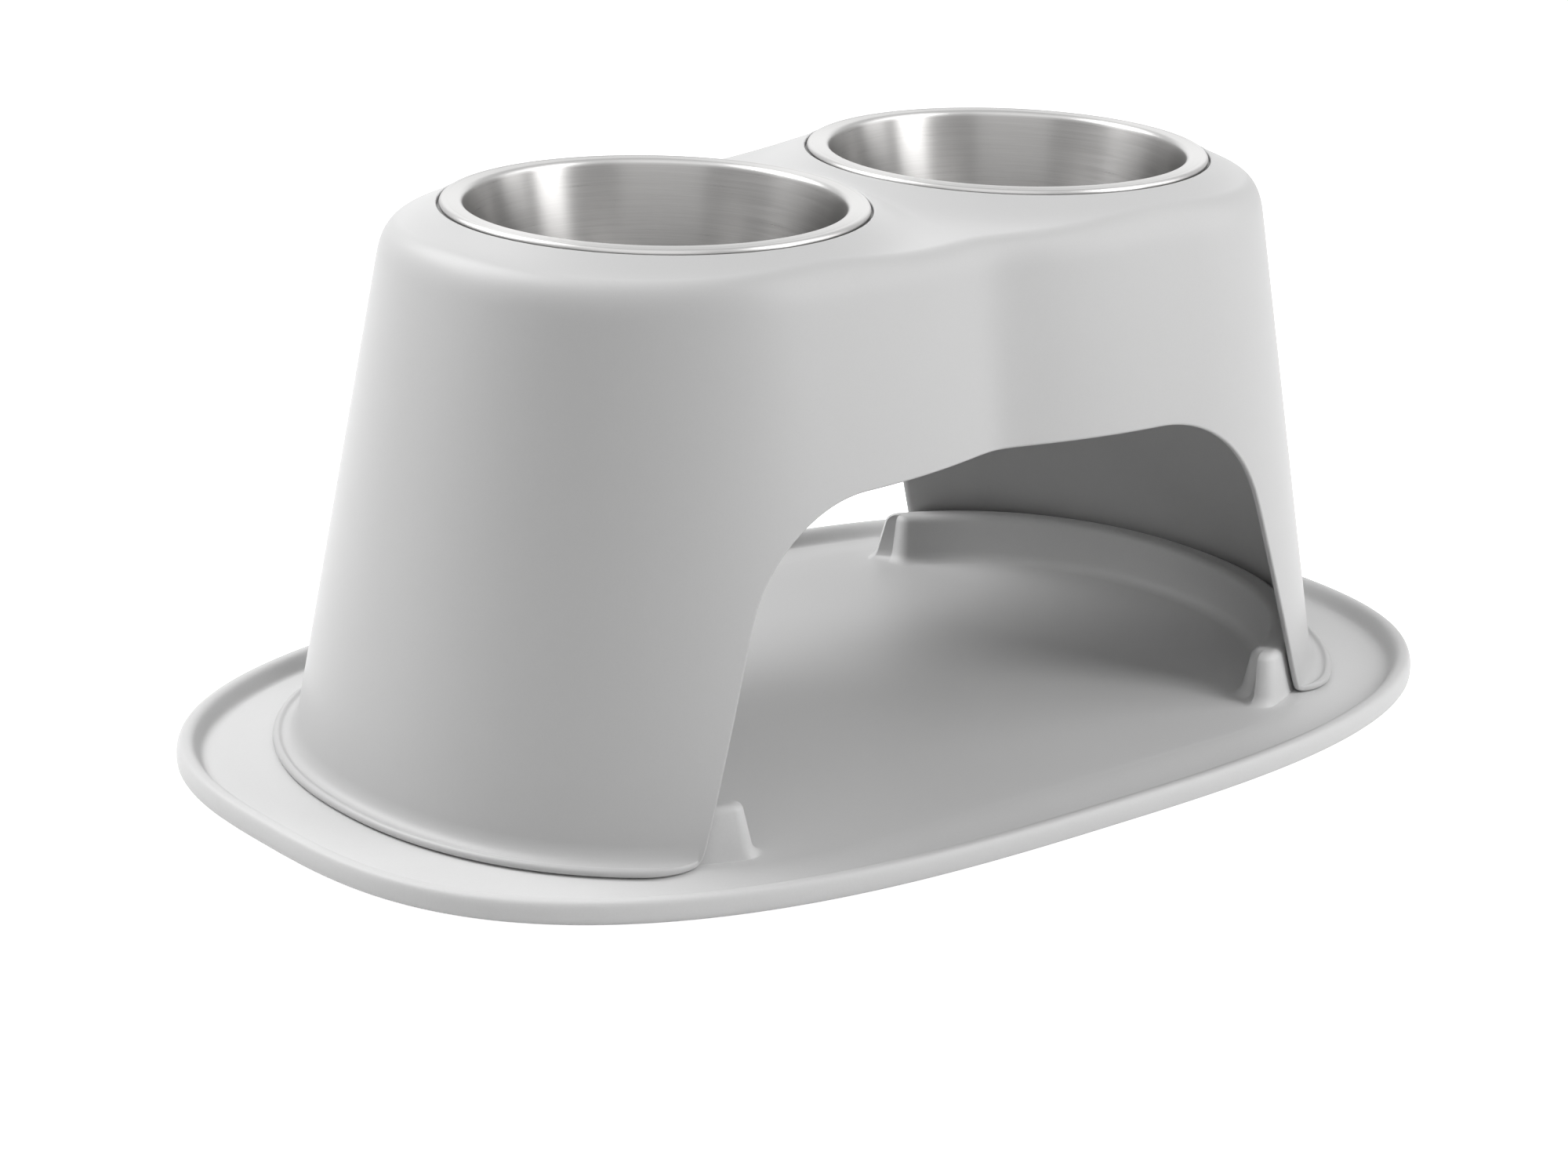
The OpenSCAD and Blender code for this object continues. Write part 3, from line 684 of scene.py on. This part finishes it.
def ridge_grid():
    """Rows of a ridge: drafted sides that end in a fillet at the foot, a rounded top and the top
    itself, which closes on its own middle line."""
    rows = []
    for height in RIDGE_ROWS:
        spread = RIDGE_DRAFT * (1 - height / RIDGE_HEIGHT)
        if height < RIDGE_FILLET:
            spread += RIDGE_FILLET - math.sqrt(RIDGE_FILLET ** 2 - (RIDGE_FILLET - height) ** 2)
        rows.append(ridge_row(FLOOR + height, 0, spread))
    flat = RIDGE_DRAFT * RIDGE_ROUND / RIDGE_HEIGHT
    for f in np.radians([15, 30, 45, 60, 75, 90]):
        z = RIDGE_TOP - RIDGE_ROUND * (1 - math.sin(f))
        rows.append(ridge_row(z, RIDGE_ROUND * (1 - math.cos(f)), flat * (1 - math.sin(f))))
    top = rows[-1]
    middle = (top + top[::-1]) / 2
    rows += [mixed(top, middle, t) for t in (0.25, 0.5, 0.75, 1.0)]
    return np.array(rows)


def mat_outline():
    """Function that gives the mat's superellipse at an inset, at columns that are evenly spaced
    along the outer one."""
    angle = np.linspace(0, 2 * np.pi, MAT_SAMPLES + 1)[:-1]

    def looped(inset):
        """Closed curve at an inset, with its first point repeated at the end."""
        curve = np.stack(superellipse(angle, MAT_LENGTH / 2 - inset, MAT_WIDTH / 2 - inset, MAT_SQUARE), -1)
        return np.vstack([curve, curve[:1]])

    places = np.arange(MAT_SAMPLES + 1)
    lengths = np.concatenate([[0], np.cumsum(np.hypot(*np.diff(looped(0), axis=0).T))])
    picks = np.interp(np.linspace(0, lengths[-1], MAT_COLUMNS, endpoint=False), lengths, places)

    def outline(inset):
        """Curve at an inset, at the picked columns."""
        curve = looped(inset)
        return np.stack([np.interp(picks, places, curve[:, k]) for k in (0, 1)], -1)

    return outline


def floor_edge(foot):
    """Where the level floor ends on the way from the middle to each point of the lip's foot: the
    stand's foot without its waist, moved out by the margin."""
    along, across, centre, x_side, y_side = stand_columns()
    x = x_side * (centre * HALF_ENDS + along * (end_reach(FLOOR) + MARGIN))
    y = y_side * across * (side_reach(FLOOR) + MARGIN)
    angle, radius = np.arctan2(y, x), np.hypot(x, y)
    order = np.argsort(angle)
    angle, radius = angle[order], radius[order]
    angle = np.concatenate([angle - 2 * np.pi, angle, angle + 2 * np.pi])
    way = np.arctan2(foot[:, 1], foot[:, 0])
    reach = np.interp(way, angle, np.tile(radius, 3))
    return np.stack([np.cos(way), np.sin(way)], -1) * reach[:, None]


def within(points, polygon):
    """Whether each point lies inside a polygon, by counting the edges to its right."""
    x, y = points[:, :1], points[:, 1:2]
    from_x, from_y = polygon[:, 0][None], polygon[:, 1][None]
    to_x, to_y = np.roll(from_x, -1, 1), np.roll(from_y, -1, 1)
    rise = np.where(to_y == from_y, 1e-9, to_y - from_y)
    passed = (from_y > y) != (to_y > y)
    crossed = passed & (x < (to_x - from_x) * (y - from_y) / rise + from_x)
    return crossed.sum(1) % 2 == 1


def filled_floor(boundary, holes):
    """Points and triangles of the level floor between its boundary and the ridges' holes."""
    points, edges, start = [], [], 0
    for loop in [boundary] + holes:
        keep = np.hypot(*(loop[:, :2] - np.roll(loop[:, :2], 1, 0)).T) > SAME_POINT
        points.append(loop[keep][:, :2])
        count = len(points[-1])
        edges += [(start + i, start + (i + 1) % count) for i in range(count)]
        start += count
    corners = [Vector(p) for p in np.concatenate(points)]
    made = delaunay_2d_cdt(corners, edges, [], KEEP_INSIDE, FILL_TOLERANCE)
    vertices = np.array([tuple(v) for v in made[0]])
    faces = np.array([list(f) for f in made[2]])
    middle = vertices[faces].mean(1)
    in_hole = [within(middle, hole[:, :2]) for hole in holes]
    return level(vertices, FLOOR), faces[~np.any(in_hole, 0)]


def mat_piece():
    """Lip as a profile carried round a superellipse, gutter that climbs to the level floor, floor
    filled between its boundary and the ridges, flat underside, and the two ridges."""
    outline = mat_outline()
    rows = []
    for share, low, high in LIP_PROFILE:
        z = GUTTER * low + (LIP_HEIGHT - GUTTER) * high
        rows.append(level(outline(LIP_WIDTH * share), z))
    foot = rows[-1][:, :2]
    edge = floor_edge(foot)
    for share, lowered in CLIMB:
        rows.append(level(mixed(foot, edge, share), GUTTER + (FLOOR - GUTTER) * share - lowered))
    outwards = foot - edge
    outwards = outwards / np.hypot(outwards[:, 0], outwards[:, 1])[:, None]
    for distance, lowered in LANDING:
        rows.append(level(edge - outwards * distance, FLOOR - lowered))
    shell = Shell()
    shell.grid(np.array(rows))
    shell.add(rows[0], [list(range(MAT_COLUMNS))])
    ridges = [mirrored(ridge_grid(), side) for side in (1, -1)]
    for ridge in ridges:
        shell.grid(ridge)
    shell.add(*filled_floor(rows[-1], [ridge[0] for ridge in ridges]))
    shell.build("mat_tray", "mat", MAT, "mat")


# Bowls

# Steps round the bowl, and numbers of points up a wall and across half the flat base.
TURNS, WALL_POINTS, BASE_POINTS = 256, 14, 10
# Inner bead of the rim: distance inwards from the roll's axis and depth below the rim's top.
RIM_BEAD = np.array([(4.4, 0.0), (2.6, 0.0), (1.9, 0.05), (1.4, 0.16), (0.9, 0.02)])


def arc(centre, radius, start, end, count):
    """Points of a circle about a centre, between two angles in degrees."""
    f = np.radians(np.linspace(start, end, count))
    return np.stack([centre[0] + radius * np.cos(f), centre[1] + radius * np.sin(f)], -1)


def bowl_profile():
    """Closed section (radius, height below the rim's top): rolled edge, rim, outer wall and base,
    then inner base, wall and rim."""
    lean = math.degrees(math.atan((WALL_R - BASE_R) / (DEPTH - BASE_ROUND)))
    rim_centre = (WALL_R + RIM_ROUND, -RIM_ROUND)
    base_centre = (BASE_R - BASE_ROUND * math.cos(math.radians(lean)), -DEPTH + SHEET + BASE_ROUND)
    roll_centre = (RIM_R - ROLL / 2, -ROLL / 2)
    shares = np.linspace(0, 1, WALL_POINTS)[1:-1, None]
    inner_base = arc(base_centre, BASE_ROUND, -90, -lean, 14)
    inner_rim = arc(rim_centre, RIM_ROUND, 180 - lean, 90, 9)
    outer_rim = arc(rim_centre, RIM_ROUND - SHEET, 90, 180 - lean, 7)
    outer_base = arc(base_centre, BASE_ROUND + SHEET, -lean, -90, 12)
    flat = np.linspace(0, inner_base[0][0], BASE_POINTS)[:-1]
    return np.concatenate([
        arc(roll_centre, ROLL / 2, 90, -90, 15),
        arc(roll_centre, ROLL / 2 - SHEET, -90, 90, 9),
        outer_rim, mixed(outer_rim[-1:], outer_base[:1], shares), outer_base,
        level(flat[::-1], -DEPTH), level(flat, -DEPTH + SHEET),
        inner_base, mixed(inner_base[-1:], inner_rim[:1], shares), inner_rim,
        (roll_centre[0], 0) - RIM_BEAD,
    ])


def bowl_piece(side, name, node_name):
    """Surface of revolution of the section about the bowl's axis, x = X + r cos f, y = r sin f.
    Its UV map holds the turn's share and the length along the section in metres."""
    profile = bowl_profile()
    lengths = np.concatenate([[0], np.cumsum(np.hypot(*np.diff(profile, axis=0).T))])
    f = np.linspace(0, 2 * np.pi, TURNS + 1)
    rows = np.stack([
        side * BOWL_X + profile[:, :1] * np.cos(f), profile[:, :1] * np.sin(f),
        np.repeat(profile[:, 1:] + RIM_TOP, TURNS + 1, 1),
    ], -1)
    uv = np.stack([np.tile(f / (2 * np.pi), (len(profile), 1)),
                   np.repeat((lengths * MM)[:, None], TURNS + 1, 1)], -1)
    shell = Shell()
    shell.grid(rows, closed=False, uv=uv)
    shell.add(rows[[-1, 0]], grid_faces(2, TURNS + 1, False), uv[[-1, 0]])
    shell.build(name, node_name, STEEL, node_name)


mat_piece()
stand_piece()
bowl_piece(-1, "left_bowl_shell", "left_bowl")
bowl_piece(1, "right_bowl_shell", "right_bowl")


# Camera

# Direction, place in millimetres, focal length in pixels and the picture's width in pixels.
YAW, PITCH, ROLLED = math.radians(40.22), math.radians(18.54), math.radians(1.69)
PLACE = (-1162, -1343, 654)
FOCAL, PICTURE_WIDTH = 4792, 2000
# Sensor in millimetres, and the farthest distance that is seen in metres.
SENSOR_WIDTH, FAR_CLIP = 36, 50

forward = Vector((math.sin(YAW) * math.cos(PITCH), math.cos(YAW) * math.cos(PITCH), -math.sin(PITCH)))
right = Vector((math.cos(YAW), -math.sin(YAW), 0))
up = right.cross(forward)
across = math.cos(ROLLED) * right + math.sin(ROLLED) * up
upward = -math.sin(ROLLED) * right + math.cos(ROLLED) * up
lens = bpy.data.cameras.new("camera")
lens.sensor_width = SENSOR_WIDTH
lens.lens = FOCAL / PICTURE_WIDTH * SENSOR_WIDTH
lens.clip_end = FAR_CLIP
camera = linked("camera", lens)
turned = [(across[i], upward[i], -forward[i], PLACE[i] * MM) for i in range(3)]
camera.matrix_world = Matrix(turned + [(0, 0, 0, 1)])
bpy.context.scene.camera = camera


# Floor and world

# Half size of the floor and its depth under the mat, in metres, its grey and its glow.
FLOOR_SIZE, FLOOR_DEPTH, FLOOR_GREY, FLOOR_GLOW = 6.0, 0.0005, 0.8, 0.93
# Strength of the world as a light, and as the background that is seen.
WORLD_LIGHT, WORLD_SEEN = 0.03, 1.0


def seen(tree):
    """1 for rays that show the background: from the camera, mirrored or passed through."""
    path = node(tree, "ShaderNodeLightPath").outputs
    calc = calculator(tree)
    straight = calc("MAXIMUM", path["Is Camera Ray"], path["Is Glossy Ray"])
    return calc("MAXIMUM", straight, path["Is Transmission Ray"])


def emptied(owner):
    """Node tree of a material or world, with its nodes cleared."""
    owner.use_nodes = True
    owner.node_tree.nodes.clear()
    return owner.node_tree


floor_mesh = bpy.data.meshes.new("floor")
corners = [(x * FLOOR_SIZE, y * FLOOR_SIZE, -FLOOR_DEPTH) for x, y in ((-1, -1), (1, -1), (1, 1), (-1, 1))]
floor_mesh.from_pydata(corners, [], [(0, 1, 2, 3)])
floor = linked("floor", floor_mesh)
floor_material = bpy.data.materials.new("floor")
tree = emptied(floor_material)
diffuse = node(tree, "ShaderNodeBsdfDiffuse", Color=(FLOOR_GREY, FLOOR_GREY, FLOOR_GREY, 1))
glow = node(tree, "ShaderNodeEmission", Color=(1, 1, 1, 1),
            Strength=calculator(tree)("MULTIPLY", seen(tree), FLOOR_GLOW))
both = node(tree, "ShaderNodeAddShader", i0=diffuse.outputs[0], i1=glow.outputs[0])
node(tree, "ShaderNodeOutputMaterial", Surface=both.outputs[0])
floor_mesh.materials.append(floor_material)

world = bpy.data.worlds.new("studio")
bpy.context.scene.world = world
tree = emptied(world)
light = node(tree, "ShaderNodeBackground", Color=(1, 1, 1, 1), Strength=WORLD_LIGHT)
white = node(tree, "ShaderNodeBackground", Color=(1, 1, 1, 1), Strength=WORLD_SEEN)
blend = node(tree, "ShaderNodeMixShader", i0=seen(tree), i1=light.outputs[0], i2=white.outputs[0])
node(tree, "ShaderNodeOutputWorld", Surface=blend.outputs[0])


# Lamps

TARGET = Vector((0, 0, 0.12))


def around(azimuth, elevation, distance):
    """Place seen from the target at an azimuth from +X and an elevation, in degrees."""
    a, e = math.radians(azimuth), math.radians(elevation)
    return TARGET + distance * Vector((math.cos(e) * math.cos(a), math.cos(e) * math.sin(a), math.sin(e)))


def lamp(name, place, width, height, power):
    """Area lamp at a place, turned towards the target, with its size in metres and power in watts."""
    data = bpy.data.lights.new(name, "AREA")
    data.shape = "RECTANGLE"
    data.size = width
    data.size_y = height
    data.energy = power
    thing = linked(name, data)
    thing.location = place
    thing.rotation_euler = (TARGET - Vector(place)).to_track_quat("-Z", "Y").to_euler()


lamp("back_left", around(128, 45, 1.7), 1.1, 1.1, 29)
lamp("front_left", around(225, 32, 1.7), 1.6, 1.6, 5)
lamp("front_right", around(300, 30, 1.7), 0.6, 1.5, 16.5)
lamp("right", around(330, 28, 1.7), 0.6, 1.5, 6.5)
lamp("overhead", (-0.5, -0.3, 1.8), 1.6, 1.6, 5)
lamp("far_side", around(50, 20, 2.2), 2.0, 0.9, 4)

bpy.context.scene.view_settings.view_transform = "Standard"
